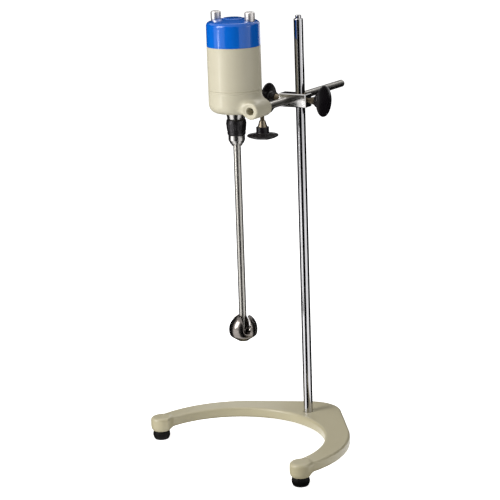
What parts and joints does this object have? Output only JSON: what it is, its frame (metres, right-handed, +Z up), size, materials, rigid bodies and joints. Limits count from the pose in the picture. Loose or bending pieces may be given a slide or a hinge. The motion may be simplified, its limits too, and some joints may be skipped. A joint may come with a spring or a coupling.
{
  "type": "laboratory stirrer",
  "caption": "Overhead laboratory stirrer with a clamped motor, drill chuck, steel shaft and bowl-shaped impeller on a stand rod and horseshoe base.",
  "frame": {"origin": "on the floor, under the middle of the stand rod", "axes": "+Z up along the stand rod, -Y towards the open side of the base, +X to the right seen from the open side"},
  "size_m": [0.297, 0.3035, 0.5885],
  "materials": {
    "base_paint": "satin",
    "housing_paint": "satin",
    "cap_paint": "gloss",
    "rubber": "matt",
    "chrome": "polished",
    "steel": "turned",
    "stainless": "polished",
    "dark_steel": "ground",
    "zinc": "zinc plated",
    "knob_plastic": "moulded",
    "black_steel": "blackened",
    "core_steel": "laminated",
    "copper": "varnished wire",
    "brass": "bright",
    "carbon": "matt"
  },
  "bodies": {
    "stand": {"base": "base_paint", "front_left_foot": "rubber", "front_right_foot": "rubber", "rear_foot": "rubber", "foot_studs": "zinc", "stand_rod": "chrome", "rod_washer": "zinc", "rod_nut": "zinc"},
    "clamp_slide": {"clamp_sleeve": "brass"},
    "clamp": {"clamp_body": "chrome"},
    "stand_screw": {"stand_clamp_screw": "zinc"},
    "stand_knob": {"stand_clamp_knob": "knob_plastic", "stand_clamp_ferrule": "zinc"},
    "cross_screw": {"cross_clamp_screw": "zinc"},
    "cross_knob": {"cross_clamp_knob": "knob_plastic", "cross_clamp_ferrule": "zinc"},
    "cross_arm": {"cross_rod": "chrome"},
    "motor": {"lower_housing": "housing_paint", "motor_shell": "housing_paint", "top_cap": "cap_paint", "tie_bolts": "steel", "dome_nuts": "steel", "lower_bearing": "steel", "upper_bearing": "steel", "stator_core": "core_steel", "field_coils": "copper", "brush_holders": "brass", "brushes": "carbon", "cable_grommet": "rubber"},
    "lug_screw_body": {"lug_screw": "zinc"},
    "lug_knob_body": {"lug_knob": "knob_plastic", "lug_ferrule": "zinc"},
    "rotor": {"spindle": "steel", "armature_core": "core_steel", "armature_winding": "copper", "commutator": "brass", "chuck_body": "steel"},
    "chuck_ring": {"chuck_sleeve": "black_steel"},
    "jaw_1": {"chuck_jaw_1": "dark_steel"},
    "jaw_2": {"chuck_jaw_2": "dark_steel"},
    "jaw_3": {"chuck_jaw_3": "dark_steel"},
    "tool": {"stirring_shaft": "stainless", "impeller": "stainless", "impeller_screw": "steel"}
  },
  "joints": [
    {"name": "clamp_height", "type": "slide", "parent": "stand", "child": "clamp_slide", "axis": [0, 0, 1], "range_m": [-0.09, 0.09]},
    {"name": "arm_swing", "type": "hinge", "parent": "clamp_slide", "child": "clamp", "pos_m": [0, 0, 0.4637], "axis": [0, 0, 1], "continuous": true},
    {"name": "stand_screw_travel", "type": "slide", "parent": "clamp", "child": "stand_screw", "axis": [0.9632, 0.2689, 0], "range_m": [0, 0.002]},
    {"name": "stand_knob_turn", "type": "hinge", "parent": "stand_screw", "child": "stand_knob", "pos_m": [0.0289, 0.00807, 0.4637], "axis": [0.9632, 0.2689, 0], "range_deg": [0, 725]},
    {"name": "cross_screw_travel", "type": "slide", "parent": "clamp", "child": "cross_screw", "axis": [-0.9632, -0.2689, 0], "range_m": [0, 0.002]},
    {"name": "cross_knob_turn", "type": "hinge", "parent": "cross_screw", "child": "cross_knob", "pos_m": [-0.04334, -0.0121, 0.4637], "axis": [-0.9632, -0.2689, 0], "range_deg": [0, 725]},
    {"name": "rod_reach", "type": "slide", "parent": "clamp", "child": "cross_arm", "axis": [-0.2689, 0.9632, 0], "range_m": [-0.12, 0.02]},
    {"name": "motor_tilt", "type": "hinge", "parent": "cross_arm", "child": "motor", "pos_m": [0.00556, -0.07943, 0.4637], "axis": [-0.2689, 0.9632, 0], "range_deg": [-90, 90]},
    {"name": "lug_screw_travel", "type": "slide", "parent": "motor", "child": "lug_screw_body", "axis": [0, 0, -1], "range_m": [0, 0.002]},
    {"name": "lug_knob_turn", "type": "hinge", "parent": "lug_screw_body", "child": "lug_knob_body", "pos_m": [0.00436, -0.07509, 0.43], "axis": [0, 0, -1], "range_deg": [0, 725]},
    {"name": "spindle_spin", "type": "hinge", "parent": "motor", "child": "rotor", "pos_m": [-0.03007, -0.08938, 0.43], "axis": [0, 0, 1], "continuous": true},
    {"name": "chuck_turn", "type": "hinge", "parent": "rotor", "child": "chuck_ring", "pos_m": [-0.03007, -0.08938, 0.438], "axis": [0, 0, 1], "range_deg": [0, 720]},
    {"name": "shaft_height", "type": "slide", "parent": "rotor", "child": "tool", "axis": [0, 0, 1], "range_m": [-0.012, 0.01]},
    {"name": "jaw_1_travel", "type": "slide", "parent": "rotor", "child": "jaw_1", "axis": [0.1174, 0.0328, 0.9925], "range_m": [0, 0.0031]},
    {"name": "jaw_2_travel", "type": "slide", "parent": "rotor", "child": "jaw_2", "axis": [-0.0871, 0.0853, 0.9925], "range_m": [0, 0.0031]},
    {"name": "jaw_3_travel", "type": "slide", "parent": "rotor", "child": "jaw_3", "axis": [-0.0303, -0.118, 0.9925], "range_m": [0, 0.0031]}
  ],
  "couplings": [
    {"joint": "stand_knob_turn", "follows": "stand_screw_travel", "rad_per_m": 6283.2},
    {"joint": "cross_knob_turn", "follows": "cross_screw_travel", "rad_per_m": 6283.2},
    {"joint": "lug_knob_turn", "follows": "lug_screw_travel", "rad_per_m": 6283.2},
    {"joint": "jaw_1_travel", "follows": "chuck_turn", "m_per_rad": 0.00023873},
    {"joint": "jaw_2_travel", "follows": "chuck_turn", "m_per_rad": 0.00023873},
    {"joint": "jaw_3_travel", "follows": "chuck_turn", "m_per_rad": 0.00023873}
  ]
}
